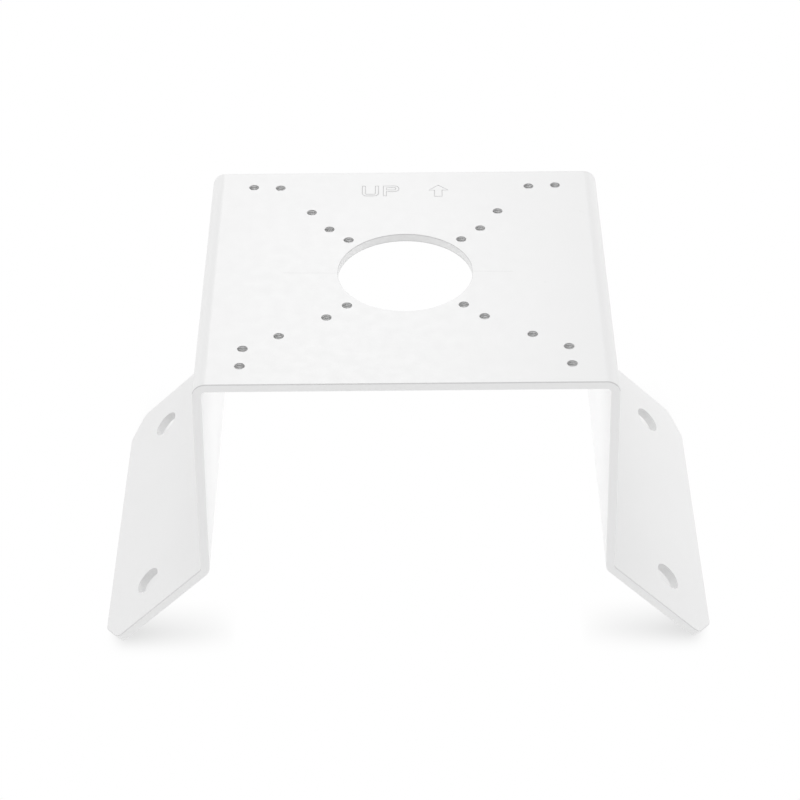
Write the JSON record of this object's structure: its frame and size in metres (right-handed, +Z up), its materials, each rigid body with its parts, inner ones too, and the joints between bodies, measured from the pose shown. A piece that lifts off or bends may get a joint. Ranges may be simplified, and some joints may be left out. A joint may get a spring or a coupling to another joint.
{
  "type": "camera corner mount bracket",
  "caption": "Folded sheet-metal bracket that carries a security camera off the outside corner of a building, with a drilled plate, side wings and angled wall flanges.",
  "frame": {"origin": "on the surface it stands on, midway between the flanges' outer edges and between the two ends", "axes": "+Z up, out of the plate that carries the camera; +X across the folds, from wing to wing; +Y along the folds, the way the arrow on the plate points"},
  "size_m": [0.2074, 0.123, 0.1142],
  "materials": {
    "powder_coat": "satin white powder coat"
  },
  "bodies": {
    "root": {"corner_bracket": "powder_coat"}
  },
  "joints": []
}
